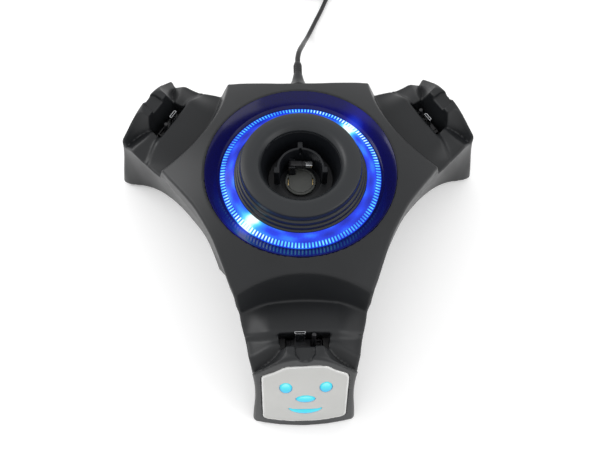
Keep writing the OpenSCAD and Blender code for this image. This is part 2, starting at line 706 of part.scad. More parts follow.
power_cord();
cord_coil();
cord_tail();
cord_tie();
usb_plug_grip();
usb_plug_shell();
usb_plug_tongue();
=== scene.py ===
import itertools
import json
import math

import bpy
import numpy as np
from mathutils import Matrix, Vector


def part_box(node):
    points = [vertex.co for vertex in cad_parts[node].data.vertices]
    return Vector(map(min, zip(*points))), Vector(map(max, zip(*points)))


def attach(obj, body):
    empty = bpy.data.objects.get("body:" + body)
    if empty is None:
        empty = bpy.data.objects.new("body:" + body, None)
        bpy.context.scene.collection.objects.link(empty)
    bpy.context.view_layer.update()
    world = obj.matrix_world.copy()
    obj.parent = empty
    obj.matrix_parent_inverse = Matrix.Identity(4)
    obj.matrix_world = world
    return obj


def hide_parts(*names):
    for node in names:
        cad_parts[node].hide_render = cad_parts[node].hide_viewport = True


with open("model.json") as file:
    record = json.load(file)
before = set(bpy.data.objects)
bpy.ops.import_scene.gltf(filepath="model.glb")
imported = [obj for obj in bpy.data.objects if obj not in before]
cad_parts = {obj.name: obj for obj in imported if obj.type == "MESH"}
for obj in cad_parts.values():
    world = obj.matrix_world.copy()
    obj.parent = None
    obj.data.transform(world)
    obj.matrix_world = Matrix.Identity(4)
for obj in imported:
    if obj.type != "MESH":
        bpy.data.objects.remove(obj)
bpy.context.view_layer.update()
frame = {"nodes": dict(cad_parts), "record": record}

MM = 0.001

# ---------- places and sizes, some taken from the frame


def low_high(node):
    low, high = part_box(node)
    return np.array(low) / MM, np.array(high) / MM


SHELL_LOW, SHELL_HIGH = low_high("top_shell")
COLLAR_LOW, COLLAR_HIGH = low_high("hub_collar")
HUB_X = 0.0
HUB_Y = (COLLAR_LOW[1] + COLLAR_HIGH[1]) / 2
ARM_REACH = HUB_Y - SHELL_LOW[1]
FOOT_Z = SHELL_LOW[2]
ARMS = {"front": -90.0, "right": 30.0, "left": 150.0}

LEAN = math.radians(15.5)
CREST_A = 131.8
CREST_Z = 74.3
FOOT_HALF = 34.7
DECK_CROWN = 102.2
DECK_CURVE = 0.00209
RING_IN, RING_OUT = 46.0, 55.6
RING_Z = 84.3
RING_RISE = 2.9
SHROUD_R = 14.45
PUCK_R = 10.9
# The folding plug's pin, from the hub's axis
PIN = (-6, 9.2, 82)
CORD_R = 2.0


# ---------- camera and lead

# The camera's place is measured from the hub's axis
CAMERA_FROM_HUB = (-9.06, -198.06, 414.24)
CAMERA_LOOK = (0.02104, 0.42947, -0.90284)
CAMERA_ROLL = 1.70
LENS = 33.32
SHIFT_UP = 0.0053


def set_camera():
    """The camera looks down on the dock from in front of the indicator plate."""
    across, along, height = CAMERA_FROM_HUB
    where = Vector((across, along + HUB_Y, height)) * MM
    forward = Vector(CAMERA_LOOK).normalized()
    roll = math.radians(CAMERA_ROLL)
    side = forward.cross(Vector((0, 0, 1))).normalized()
    up = side.cross(forward)
    right = side * math.cos(roll) + up * math.sin(roll)
    top = up * math.cos(roll) - side * math.sin(roll)
    data = bpy.data.cameras.new("camera")
    data.sensor_width = 36.0
    data.lens = LENS
    data.shift_y = SHIFT_UP
    data.clip_start = 0.01
    camera = bpy.data.objects.new("camera", data)
    turn = Matrix((right, top, -forward)).transposed().to_4x4()
    camera.matrix_world = Matrix.Translation(where) @ turn
    bpy.context.collection.objects.link(camera)
    bpy.context.scene.camera = camera


# Route of the lead's centre in millimetres, from the boot to the coil
LEAD = [
    (0, 129, 78.5), (0.3, 135, 78.2), (1.3, 142, 76.2), (2.6, 150, 71.2), (4.1, 160, 63.5),
    (5.5, 172, 53), (6.6, 184, 42), (7.7, 196, 31), (8.8, 207, 21), (10.2, 217, 12.6),
    (12, 226, 6.6), (14.2, 234, 3.2), (17.5, 243, 2), (21.2, 252, 2), (25, 261, 2),
    (28.6, 270, 2), (32, 279, 2), (35.2, 287, 2), (38.2, 295, 2),
]
# From the coil's top row down to the plug
TAIL = [
    (26, 287.8, 9.7), (33, 288.9, 8.8), (40, 290.6, 7), (47, 293, 5.2), (54, 296, 4.2), (61, 299.2, 4),
]
COIL_X, COIL_Y = 18.0, 311.0
COIL_OUT, COIL_IN = 24.0, 20.0
COIL_START, COIL_END = -21.0, -85.0
# Column radius and row height of each turn, in the order that they are wound
TURNS = [(COIL_OUT, 2), (COIL_IN, 2), (COIL_IN, 6), (COIL_OUT, 6), (COIL_OUT, 10), (COIL_OUT, 10)]
PER_TURN = 24
# A turn eases into the next over its last sixth
EASING_SHARE = 6


def coil_points():
    """The coil's turns, each easing into the next column or row at its end."""
    turns = len(TURNS) - 2 + (COIL_END - COIL_START + 360) / 360
    points = []
    steps = int(turns * PER_TURN)
    for i in range(steps + 1):
        t = i * turns / steps
        k = min(int(t), len(TURNS) - 2)
        part = max(0.0, (t - k) * EASING_SHARE - (EASING_SHARE - 1))
        part = part * part * (3 - 2 * part)
        r = TURNS[k][0] + (TURNS[k + 1][0] - TURNS[k][0]) * part
        z = TURNS[k][1] + (TURNS[k + 1][1] - TURNS[k][1]) * part
        a = math.radians(COIL_START + 360 * t)
        points.append((COIL_X + r * math.cos(a), COIL_Y + r * math.sin(a), z))
    return points


def smooth_path(points, per=4):
    """A curve through the points, with the same ends."""
    p = np.array(points, float)
    p = np.vstack([2 * p[0] - p[1], p, 2 * p[-1] - p[-2]])
    out = []
    for i in range(1, len(p) - 2):
        for j in range(per):
            t = j / per
            a, b, c, d = p[i - 1:i + 3]
            out.append(0.5 * (2 * b + (c - a) * t + (2 * a - 5 * b + 4 * c - d) * t * t
                              + (3 * b - a - 3 * c + d) * t ** 3))
    out.append(p[-2])
    return np.array(out)


def lay_lead(black):
    """The USB lead: out of the boot, down to the floor, into its coil and on to its plug."""
    lead_in = smooth_path(LEAD + [coil_points()[0]])
    tail_out = smooth_path([coil_points()[-1]] + TAIL)
    points = np.vstack([lead_in[:-1], coil_points(), tail_out[1:]])
    data = bpy.data.curves.new("usb_lead", "CURVE")
    data.dimensions = "3D"
    data.bevel_depth = CORD_R * MM
    data.bevel_resolution = 5
    data.use_fill_caps = True
    spline = data.splines.new("POLY")
    spline.points.add(len(points) - 1)
    for p, q in zip(spline.points, points):
        p.co = (q[0] * MM, q[1] * MM, q[2] * MM, 1)
    data.materials.append(black)
    lead = bpy.data.objects.new("usb_lead", data)
    bpy.context.collection.objects.link(lead)
    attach(lead, "dock")
    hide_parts("power_cord", "cord_coil", "cord_tail")


# ---------- building meshes


SHARP_ANGLE = 50


def add_mesh(name, verts, faces, material, body, smooth=True, attributes=None):
    mesh = bpy.data.meshes.new(name)
    verts = np.asarray(verts, float) * MM
    mesh.from_pydata(verts.tolist(), [], [list(map(int, f)) for f in faces])
    mesh.validate()
    mesh.update()
    for key, values in (attributes or {}).items():
        layer = mesh.attributes.new(key, "FLOAT", "POINT")
        layer.data.foreach_set("value", np.asarray(values, np.float32))
    if smooth:
        mesh.shade_smooth()
        mesh.set_sharp_from_angle(angle=math.radians(SHARP_ANGLE))
    mesh.materials.append(material)
    piece = bpy.data.objects.new(name, mesh)
    bpy.context.collection.objects.link(piece)
    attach(piece, body)
    return piece


def round_max(a, b, r):
    """The greater of two distances, with the outer corner where they meet rounded to radius r."""
    return np.minimum(-r, np.maximum(a, b)) + np.hypot(np.maximum(a + r, 0), np.maximum(b + r, 0))


def round_min(a, b, r):
    """The lesser of two distances, with the inner corner where they meet filled to radius r."""
    return -round_max(-a, -b, r)


def soft_max(a, b, k):
    h = np.maximum(k - np.abs(a - b), 0) / k
    return np.maximum(a, b) + h * h * k / 4


def soft_min(a, b, k):
    return -soft_max(-a, -b, k)


def ease(x, low, high):
    t = np.clip((x - low) / (high - low), 0, 1)
    return t * t * (3 - 2 * t)


def curve(x, points):
    """A smooth curve through a few points, flat beyond its ends."""
    px, py = np.array(points, float).T
    slope = np.gradient(py, px)
    x = np.clip(x, px[0], px[-1])
    i = np.clip(np.searchsorted(px, x, side="right") - 1, 0, len(px) - 2)
    w = px[i + 1] - px[i]
    t = (x - px[i]) / w
    t2, t3 = t * t, t * t * t
    return ((2 * t3 - 3 * t2 + 1) * py[i] + (t3 - 2 * t2 + t) * w * slope[i]
            + (3 * t2 - 2 * t3) * py[i + 1] + (t3 - t2) * w * slope[i + 1])


def polygon_distance(x, y, points):
    """Signed distance to a closed outline, negative inside it."""
    best = np.full(np.shape(x), 1e9)
    inside = np.zeros(np.shape(x), bool)
    for (ax, ay), (bx, by) in zip(points, points[1:] + points[:1]):
        ex, ey = bx - ax, by - ay
        t = np.clip(((x - ax) * ex + (y - ay) * ey) / (ex * ex + ey * ey), 0, 1)
        best = np.minimum(best, np.hypot(x - ax - t * ex, y - ay - t * ey))
        if ay != by:
            inside ^= ((ay > y) != (by > y)) & (x < ax + ex * (y - ay) / ey)
    return np.where(inside, -best, best)


def box_distance(x, y, z, half, r):
    """Signed distance to a box with edges rounded to radius r, centred on the origin."""
    q = [np.abs(v) - (h - r) for v, h in zip((x, y, z), half)]
    out = np.sqrt(sum(np.maximum(v, 0) ** 2 for v in q))
    return out + np.minimum(np.maximum(np.maximum(q[0], q[1]), q[2]), 0) - r


CORNERS = list(itertools.product((0, 1), repeat=3))
EDGES = [(a, b) for a in CORNERS for b in CORNERS if sum(b) - sum(a) == 1
         and sum(abs(p - q) for p, q in zip(a, b)) == 1]


def surface(distance, low, high, step, passes=3):
    """Vertices and four-sided faces of the surface where distance(x, y, z) is nought."""
    low, high = np.array(low, float) - 2 * step, np.array(high, float) + 2 * step
    axes = [np.arange(lo, hi + step, step) for lo, hi in zip(low, high)]
    field = distance(*np.meshgrid(*axes, indexing="ij"))
    inner = field < 0
    n = [len(axis) for axis in axes]
    count = sum(inner[i:n[0] - 1 + i, j:n[1] - 1 + j, k:n[2] - 1 + k].astype(int) for i, j, k in CORNERS)
    active = (count > 0) & (count < 8)
    cells = np.argwhere(active)
    index = np.full(active.shape, -1)
    index[active] = np.arange(len(cells))
    total, hits = np.zeros((len(cells), 3)), np.zeros(len(cells))
    for start, end in EDGES:
        f0 = field[tuple((cells + start).T)]
        f1 = field[tuple((cells + end).T)]
        cross = (f0 < 0) != (f1 < 0)
        t = np.where(cross, f0 / np.where(cross, f0 - f1, 1), 0)
        total[cross] += (np.array(start) + t[:, None] * np.subtract(end, start))[cross]
        hits += cross
    points = low + step * (cells + total / hits[:, None])
    for _ in range(passes):
        points = settle(distance, points, step)
    return points, net_faces(inner, index)


def settle(distance, points, step):
    """Move the points onto the surface, along its slope."""
    h = 0.2 * step
    value = distance(*points.T)
    slope = np.stack([(distance(*(points + h * e).T) - distance(*(points - h * e).T)) / (2 * h)
                      for e in np.eye(3)], axis=1)
    size = np.maximum((slope ** 2).sum(1), 0.25)
    move = -slope * (value / size)[:, None]
    reach = np.linalg.norm(move, axis=1)
    return points + move * np.minimum(1, 0.5 * step / np.maximum(reach, 1e-9))[:, None]


def net_faces(inner, index):
    faces = []
    for axis in range(3):
        u, v = (axis + 1) % 3, (axis + 2) % 3
        here = np.take(inner, range(inner.shape[axis] - 1), axis)
        there = np.take(inner, range(1, inner.shape[axis]), axis)
        at = np.argwhere(here != there)
        at = at[(at[:, u] > 0) & (at[:, v] > 0)]
        at = at[(at[:, u] < inner.shape[u] - 1) & (at[:, v] < inner.shape[v] - 1)]
        du, dv = np.eye(3, dtype=int)[u], np.eye(3, dtype=int)[v]
        quad = np.stack([index[tuple((at - s * du - t * dv).T)]
                         for s, t in ((1, 1), (0, 1), (0, 0), (1, 0))], axis=1)
        flip = ~here[tuple(at.T)]
        quad[flip] = quad[flip][:, ::-1]
        faces.append(quad)
    return np.vstack(faces)


def lathe(profile, segments=192, centre=(HUB_X, HUB_Y), close=True):
    """Turn an outline of (radius, height) points round an upright axis."""
    profile = np.array(profile, float)
    angle = np.linspace(0, 2 * math.pi, segments, endpoint=False)
    verts = np.concatenate([np.stack([centre[0] + r * np.cos(angle), centre[1] + r * np.sin(angle),
                                      np.full(segments, z)], axis=1) for r, z in profile])
    rows = len(profile)
    faces = []
    for i in range(rows if close else rows - 1):
        for j in range(segments):
            a, b = i * segments, (i + 1) % rows * segments
            k = (j + 1) % segments
            faces.append((a + j, a + k, b + k, b + j))
    return verts, faces


def rounded(points, r, steps=4):
    """An outline with its corners cut back into short curves; r is one radius or one for each corner."""
    points = [np.array(p, float) for p in points]
    radii = [r] * len(points) if np.isscalar(r) else r
    out = []
    for i, p in enumerate(points):
        before, after = points[i - 1] - p, points[(i + 1) % len(points)] - p
        cut = min(radii[i], 0.45 * np.linalg.norm(before), 0.45 * np.linalg.norm(after))
        a = p + before / np.linalg.norm(before) * cut
        b = p + after / np.linalg.norm(after) * cut
        for j in range(steps + 1):
            t = j / steps
            out.append((1 - t) ** 2 * a + 2 * t * (1 - t) * p + t * t * b)
    return out


# ---------- the shell's shape, for one arm: a is outward from the hub, b sideways, z up

FLOOR_PLAN = [(36, 65), (45.5, 56.8), (56, 49), (67, 43), (79, 38), (96, 32), (109, 29.2), (122.6, 28.6),
              (132, 30.4), (139, 33.2), (145, 35.4), (152, 35.7)]
BROW_PLAN = [(36, 65.8), (49, 58.8), (62.3, 53.3), (69.8, 50.4), (77.8, 47.4), (85, 44.4), (92, 42.9),
             (100, 41.4), (110, 38.7), (120, 36.0), (132, 32.8), (152, 29.8)]
CREST_LINE = [(0, 89.1), (5, 88.7), (10, 87.5), (14, 85.7), (18, 83.1), (22, 80.3), (28, 76.6),
              (31.7, 74.3), (36, 73)]
PLATE = [(-28.4, 13), (-27.0, 66.4), (-26.2, 68.6), (-24.4, 69.6), (-19, 72.8), (-13.6, 77.6),
         (-11.4, 78.7), (-6, 79.3), (8, 79.8), (12, 79.4), (14.4, 78.2), (19, 73.8), (23.6, 71), (26, 69.4),
         (27.2, 66), (28.6, 15.2), (27.8, 12.6), (25.4, 11.2), (16, 10.2), (8, 9.8), (-8, 9.6),
         (-18, 9.8), (-25.4, 10.3), (-27.6, 11.4)]
# An arm's pocket: its two ends, and its half width at each
POCKET = (108.4, 119.0, 16.5, 14.5)
POCKET_FLOOR = 60
SHELL_T, RIM_T = 2.5, 2.3
# The dish's cut: its radius at the foot, where it starts to open, how fast and over what height
DISH_FOOT_R, DISH_OPENS_Z, DISH_OPENING, DISH_DEPTH = 58.1, 82.8, 0.797, 9.1
DISH_RIM_Z, DISH_RIM_R = 81, 68
PLATE_GAP, PLATE_SEAT = 0.25, 1.9
TROUGH_A, TROUGH_Z = 85, 67.3
VALLEY_A, VALLEY_Z = 111, 71.2
BLOCK_A, BLOCK_Z = 119, 85.4
CHANNEL_END, CHANNEL_HALF, CHANNEL_DEPTH = 122.8, 6.1, 2.8


def end_face(b, z):
    """How far out an arm's leaning, slightly bowed end stands."""
    bow = (ARM_REACH - CREST_A - (CREST_Z - FOOT_Z) * math.tan(LEAN)) * (1 - (b / FOOT_HALF) ** 2)
    return CREST_A + (CREST_Z - z) * math.tan(LEAN) + bow * np.clip((CREST_Z - z) / CREST_Z, 0, 1)


def half_width(a, z):
    t = np.clip((z - FOOT_Z) / 70, 0, 1)
    return curve(a, FLOOR_PLAN) * (1 - t) + curve(a, BROW_PLAN) * t


def top_height(a, b):
    """The height of the dock's top: dome, slope, trough, ridge, scoops and the block at the crest."""
    w = np.abs(b)
    dome = DECK_CROWN - DECK_CURVE * (a * a + b * b)
    crease = TROUGH_A + 7 * (w / 40) ** 2
    slope = TROUGH_Z + (crease - a) * 2.2
    fall = ease(w, 20, 39) * (2 + 7 * np.clip((a - 88) / 20, 0, 1))
    trough = TROUGH_Z + 0.29 * (a - TROUGH_A) - fall
    beyond = 73.9 - fall - (a - 107.9) * 1.1
    crest = curve(w, CREST_LINE)
    crest_a = CREST_A + (CREST_Z - crest) * math.tan(LEAN)
    valley = VALLEY_Z - 6.4 * ease(w, 18, 37)
    t = np.clip((a - VALLEY_A) / (crest_a - VALLEY_A), 0, 1.2)
    scoop = np.where(a > 108, valley + (crest - valley) * t ** 1.3, 0)
    t = np.clip((a - BLOCK_A) / (crest_a - BLOCK_A), 0, 1)
    ridge = BLOCK_Z + 3.7 * t
    block = np.minimum(ridge, ridge - (3 - 2.1 * t) * (w - 11 - t)) - 3 * np.maximum(BLOCK_A - a, 0)
    block = np.minimum(block, crest)
    past_end = np.maximum(a - CHANNEL_END, 0)
    channel = np.where(a < CHANNEL_END, w, np.hypot(past_end, b)) - CHANNEL_HALF
    block = block - CHANNEL_DEPTH * (1 - ease(channel, -0.6, 0.4))
    arm = soft_max(soft_min(trough, beyond, 2.5), scoop, 3)
    arm = soft_max(arm, slope, 2.5)
    return np.maximum(soft_min(dome, arm, 2.0), np.where(a > 105, block, 0))


def nearest_arm(x, y):
    """Turn each point into the frame of the arm that it is nearest to."""
    x, y = x - HUB_X, y - HUB_Y
    a = b = arm = None
    for k, angle in enumerate(ARMS.values()):
        c, s = math.cos(math.radians(angle)), math.sin(math.radians(angle))
        along, across = x * c + y * s, y * c - x * s
        if a is None:
            a, b, arm = along, across, np.zeros(np.shape(along), int)
        else:
            closer = along > a
            a, b, arm = np.where(closer, along, a), np.where(closer, across, b), np.where(closer, k, arm)
    return a, b, arm


def body_distance(a, b, z):
    """Signed distance to the dock's outside, before its pockets and the dish are cut."""
    h = 0.25
    top = top_height(a, b)
    along = (top_height(a + h, b) - top_height(a - h, b)) / (2 * h)
    across = (top_height(a, b + h) - top_height(a, b - h)) / (2 * h)
    lid = (z - top) / np.sqrt(1 + along ** 2 + across ** 2)
    flare = (half_width(a + h, z) - half_width(a - h, z)) / (2 * h)
    side = (np.abs(b) - half_width(a, z)) / np.sqrt(1 + flare ** 2)
    end = (a - end_face(b, z)) * math.cos(LEAN)
    wall = round_max(side, end, 2.6)
    return round_max(wall, lid, 1.7)


def shell_distance(x, y, z):
    """The shell: the dock's outside, hollowed, with three pockets, the dish and the plate's seat."""
    a, b, arm = nearest_arm(x, y)
    outside = body_distance(a, b, z)
    inside = outside + SHELL_T
    low, high, wide, narrow = POCKET
    middle, length = (low + high) / 2, (high - low) / 2
    width = wide + (narrow - wide) * np.clip((a - low) / (high - low), 0, 1)
    pocket = round_max(np.abs(a - middle) - length, np.abs(b) - width, 1.6)
    well = np.maximum(np.abs(a - middle) - length - RIM_T, np.abs(b) - width - RIM_T)
    hollow = np.maximum(inside, -np.maximum(well, POCKET_FLOOR - z))
    r = np.hypot(x - HUB_X, y - HUB_Y)
    opened = np.clip(z - DISH_OPENS_Z, 0, DISH_DEPTH)
    dish = (r - (DISH_FOOT_R + DISH_OPENING * opened)) * 0.78
    dish_wall = np.maximum(dish - RIM_T, DISH_RIM_Z - z)
    hollow = np.maximum(hollow, -np.maximum(dish_wall, r - DISH_RIM_R))
    face = (a - end_face(b, z)) * math.cos(LEAN)
    seat = np.full(np.shape(a), 9.0)
    near = (arm == 0) & (a > 120)
    seat[near] = polygon_distance(b[near], z[near], PLATE) - PLATE_GAP
    shell = round_max(outside, -pocket, 0.9)
    shell = round_max(shell, -dish, 0.4)
    shell = np.maximum(shell, -np.maximum(seat, -PLATE_SEAT - face))
    shell = np.maximum(shell, -hollow)
    return round_max(shell, FOOT_Z - z, 0.8)


def build_shell(plastic):
    low, high = SHELL_LOW - 0.5, SHELL_HIGH + 0.5
    verts, faces = surface(shell_distance, low, high, 0.9)
    verts[:, 2] = np.maximum(verts[:, 2], FOOT_Z)
    piece = add_mesh("shell", verts, faces, plastic, "dock")
    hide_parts("top_shell")


# ---------- materials


def new_material(name):
    made = bpy.data.materials.new(name)
    made.use_nodes = True
    tree = made.node_tree
    return made, tree, tree.nodes["Principled BSDF"]


def moulded(name, colour, rough, grain, depth, mottle=0.12, metallic=0.0, coat=0.0, specular=0.5, wave=0.0):
    """Moulded plastic, rubber or metal: fine texture, faint mottling and uneven gloss."""
    made, tree, shader = new_material(name)
    link = tree.links.new
    place = tree.nodes.new("ShaderNodeTexCoord")
    fine = tree.nodes.new("ShaderNodeTexNoise")
    fine.inputs["Scale"].default_value = grain
    fine.inputs["Detail"].default_value = 4.0
    link(place.outputs["Object"], fine.inputs["Vector"])
    broad = tree.nodes.new("ShaderNodeTexNoise")
    broad.inputs["Scale"].default_value = 38.0
    broad.inputs["Detail"].default_value = 3.0
    link(place.outputs["Object"], broad.inputs["Vector"])
    tone = tree.nodes.new("ShaderNodeValToRGB")
    tone.color_ramp.elements[0].position = 0.3
    tone.color_ramp.elements[1].position = 0.7
    for element, share in zip(tone.color_ramp.elements, (1 - mottle, 1 + mottle)):
        element.color = [min(1.0, c * share) for c in colour] + [1.0]
    link(broad.outputs["Fac"], tone.inputs["Fac"])
    link(tone.outputs["Color"], shader.inputs["Base Color"])
    gloss = tree.nodes.new("ShaderNodeMapRange")
    gloss.inputs["To Min"].default_value = rough * 0.88
    gloss.inputs["To Max"].default_value = min(1.0, rough * 1.12)
    link(fine.outputs["Fac"], gloss.inputs["Value"])
    link(gloss.outputs["Result"], shader.inputs["Roughness"])
    bump = tree.nodes.new("ShaderNodeBump")
    bump.inputs["Strength"].default_value = 0.35
    bump.inputs["Distance"].default_value = depth * MM
    link(fine.outputs["Fac"], bump.inputs["Height"])
    link(bump.outputs["Normal"], shader.inputs["Normal"])
    shader.inputs["Metallic"].default_value = metallic
    shader.inputs["Coat Weight"].default_value = coat
    shader.inputs["Coat Roughness"].default_value = 0.12
    shader.inputs["Specular IOR Level"].default_value = specular
    if wave:
        add_waves(tree, place, bump, wave, depth)
    return made


def add_waves(tree, place, bump, wave, depth):
    """Fine parallel tool marks under the bump that is there already."""
    marks = tree.nodes.new("ShaderNodeTexWave")
    marks.inputs["Scale"].default_value = wave
    marks.inputs["Distortion"].default_value = 1.5
    under = tree.nodes.new("ShaderNodeBump")
    under.inputs["Strength"].default_value = 0.25
    under.inputs["Distance"].default_value = depth * MM
    tree.links.new(place.outputs["Object"], marks.inputs["Vector"])
    tree.links.new(marks.outputs["Fac"], under.inputs["Height"])
    tree.links.new(under.outputs["Normal"], bump.inputs["Normal"])


def glowing(name, dark, ramp, strength, rough=0.2):
    """Lit plastic whose colour and brightness follow the piece's own glow values."""
    made, tree, shader = new_material(name)
    link = tree.links.new
    place = tree.nodes.new("ShaderNodeTexCoord")
    glow = tree.nodes.new("ShaderNodeAttribute")
    glow.attribute_name = "glow"
    grain = tree.nodes.new("ShaderNodeTexNoise")
    grain.inputs["Scale"].default_value = 900.0
    link(place.outputs["Object"], grain.inputs["Vector"])
    jitter = tree.nodes.new("ShaderNodeMath")
    jitter.operation = "MULTIPLY_ADD"
    jitter.inputs[1].default_value = 0.08
    link(grain.outputs["Fac"], jitter.inputs[0])
    link(glow.outputs["Fac"], jitter.inputs[2])
    tone = tree.nodes.new("ShaderNodeValToRGB")
    elements = tone.color_ramp.elements
    while len(elements) < len(ramp):
        elements.new(0.5)
    for element, (position, colour) in zip(elements, ramp):
        element.position = position
        element.color = (*colour, 1.0)
    link(jitter.outputs[0], tone.inputs["Fac"])
    link(tone.outputs["Color"], shader.inputs["Emission Color"])
    shader.inputs["Emission Strength"].default_value = strength
    shader.inputs["Base Color"].default_value = (*dark, 1.0)
    gloss = tree.nodes.new("ShaderNodeMapRange")
    gloss.inputs["To Min"].default_value = rough * 0.8
    gloss.inputs["To Max"].default_value = rough * 1.2
    link(grain.outputs["Fac"], gloss.inputs["Value"])
    link(gloss.outputs["Result"], shader.inputs["Roughness"])
    shader.inputs["Specular IOR Level"].default_value = 0.25
    return made


def shell_plastic():
    return moulded("shell_plastic", (0.0105, 0.0115, 0.0130), 0.40, 2600.0, 0.05, mottle=0.12,
                    specular=0.36)


def hub_plastic():
    return moulded("hub_plastic", (0.0125, 0.0145, 0.0170), 0.38, 2600.0, 0.04, mottle=0.08,
                    specular=0.42)


# Black plastic about half as light as the shell: painted shade for the dim inside of the deep cup.
def cup_plastic():
    return moulded("cup_plastic", (0.005, 0.006, 0.008), 0.45, 2600.0, 0.04, mottle=0.10,
                    specular=0.3)


def dish_plastic_painted_glow():
    """Glossy dark blue plastic with painted light: an emitted glow stands in for the ring lamps' light
    falling on it near them.
    """
    return glowing("dish_plastic_painted_glow", (0.004, 0.004, 0.030), LIT, 0.8, rough=0.16)


def dark_plastic():
    return moulded("dark_plastic", (0.010, 0.010, 0.012), 0.45, 2600.0, 0.05)


def puck_plastic():
    return moulded("puck_plastic", (0.085, 0.090, 0.084), 0.5, 1800.0, 0.06, mottle=0.15)


def plate_paint():
    return moulded("plate_paint", (0.46, 0.46, 0.445), 0.36, 3200.0, 0.02, mottle=0.03, metallic=0.35,
                   coat=0.25)


# A lighter, glossier finish for the plate's edge band: a painted highlight where the rounded edge catches
# the light.
def plate_edge_painted_highlight():
    return moulded("plate_edge_painted_highlight", (0.62, 0.62, 0.61), 0.24, 3200.0, 0.01, mottle=0.02, metallic=0.5, coat=0.5)


def plated_metal():
    return moulded("plated_metal", (0.55, 0.56, 0.58), 0.24, 1500.0, 0.02, mottle=0.05, metallic=1.0,
                   wave=900.0)


def cord_rubber():
    return moulded("cord_rubber", (0.012, 0.012, 0.013), 0.5, 1500.0, 0.06, mottle=0.15)


LIT = [(0.0, (0.0, 0.0, 0.02)), (0.22, (0.004, 0.004, 0.22)), (0.45, (0.012, 0.05, 0.80)),
       (0.66, (0.03, 0.30, 0.95)), (0.84, (0.12, 0.75, 1.0)), (1.0, (0.85, 1.0, 1.0))]
CYAN = [(0.0, (0.0, 0.16, 0.45)), (0.45, (0.0, 0.36, 0.70)), (0.75, (0.03, 0.72, 0.80)),
        (1.0, (0.45, 1.0, 0.95))]


def ring_lens():
    return glowing("ring_lens", (0.004, 0.004, 0.03), LIT, 1.15)


def window_lens():
    return glowing("window_lens", (0.02, 0.08, 0.10), CYAN, 0.95)


# ---------- dish, light ring and hub

LAMP_ANGLES = (46.0, 227.0)


def from_lamp(x, y, width):
    """How close a place on the ring is to a lamp, from 0 to 1."""
    around = np.degrees(np.arctan2(y - HUB_Y, x - HUB_X))
    near = [np.exp(-(((around - a + 180) % 360 - 180) / width) ** 2) for a in LAMP_ANGLES]
    return np.maximum(*near)


def build_bezel(plastic):
    profile = rounded([(55.9, 81.8), (55.9, 84.2), (57.8, 85.4), (61.5, 89.4), (65.0, 93.36), (65.1, 91.96),
                       (57.8, 82.8), (57.8, 81.8)], [0.1, 0.5, 0.8, 2, 0.5, 0.2, 0.2, 0.1])
    verts, faces = lathe(profile)
    # Painted light: the glow stands in for the lamps' light on the bezel, strongest beside each lamp and
    # low down near the ring.
    near, wide = from_lamp(verts[:, 0], verts[:, 1], 9), from_lamp(verts[:, 0], verts[:, 1], 40)
    painted_spill_low_down = np.clip((90 - verts[:, 2]) / 6, 0, 1)
    glow = (0.06 * wide + 0.34 * near) * (0.5 + 0.7 * painted_spill_low_down) - 0.025
    piece = add_mesh("dish_bezel_skin", verts, faces, plastic, "dock", attributes={"glow": glow})
    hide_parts("dish_bezel")


def ring_height(r):
    return RING_Z + RING_RISE * np.clip((RING_OUT - r) / (RING_OUT - RING_IN), 0, 1)


def build_ring(lens):
    """The light ring: a smooth inner band, then a band of fine radial ribs."""
    ribs, per_rib = 150, 6
    radii = [46.0, 46.5, 48, 49.5, 51, 51.8, 52.1, 52.4, 53, 54, 55, 55.3, 55.6]
    segments = ribs * per_rib
    angle = np.arange(segments) * 2 * math.pi / segments
    tooth = np.array([0, 0.1, 0.8, 1.0, 0.9, 0.2])[np.arange(segments) % per_rib]
    rows, glow = [], []
    for r in radii:
        ribbed = float(ease(r, 51.9, 52.5) * (1 - ease(r, 55.2, 55.6)))
        x, y = HUB_X + r * np.cos(angle), HUB_Y + r * np.sin(angle)
        rows.append(np.stack([x, y, ring_height(r) - 0.5 * ribbed * (1 - tooth)], axis=1))
        near = from_lamp(x, y, 7)
        wide = from_lamp(x, y, 55)
        swirl = 0.06 * np.sin(7 * angle + 0.9 * r) + 0.05 * np.sin(17 * angle - 0.5 * r)
        band = 0.33 + 0.14 * wide + swirl
        rib = 0.26 + (0.42 + 0.26 * wide + swirl) * tooth
        glow.append(np.clip(band * (1 - ribbed) + rib * ribbed + 0.6 * near, 0, 1))
    rows += [rows[-1] * [1, 1, 0] + [0, 0, 81.5], rows[0] * [1, 1, 0] + [0, 0, 81.5]]
    glow += [glow[-1], glow[0]]
    faces = []
    for i in range(len(rows)):
        a, b = i * segments, (i + 1) % len(rows) * segments
        faces += [(a + j, b + j, b + (j + 1) % segments, a + (j + 1) % segments) for j in range(segments)]
    piece = add_mesh("ring_lens", np.concatenate(rows), faces, lens, "dock",
                     attributes={"glow": np.concatenate(glow)})
    piece.data.flip_normals()
    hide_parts("light_ring")


def build_collar(plastic):
    """The stepped collar of the hub, with a soft top face falling away to both sides."""
    profile = rounded([
        (45.7, 74.2), (45.7, 87.4), (44.3, 87.9), (44.1, 90.4), (42.8, 90.9), (42.6, 94.2), (41.3, 94.7),
        (40.8, 98.6), (40.2, 100.1), (36.5, 101.3), (31.65, 101.7), (29.0, 100.6), (26.8, 98), (26.8, 96.6),
        (29.4, 96.6), (29.4, 91), (37, 89), (42, 84), (42, 72), (58.5, 72), (58.5, 81), (56.9, 81),
        (56.9, 74.2)],
        [0.2, 0.5, 0.4, 0.4, 0.5, 0.4, 0.5, 0.8, 1.2, 3, 3, 2, 0.6] + [0.2] * 10)
    verts, faces = lathe(profile, 256)
    piece = add_mesh("collar", verts, faces, plastic, "dock")
    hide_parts("hub_collar")


def at_hub_plug(x, y, z):
    return x - HUB_X - PIN[0], y - HUB_Y - PIN[1], z - PIN[2]


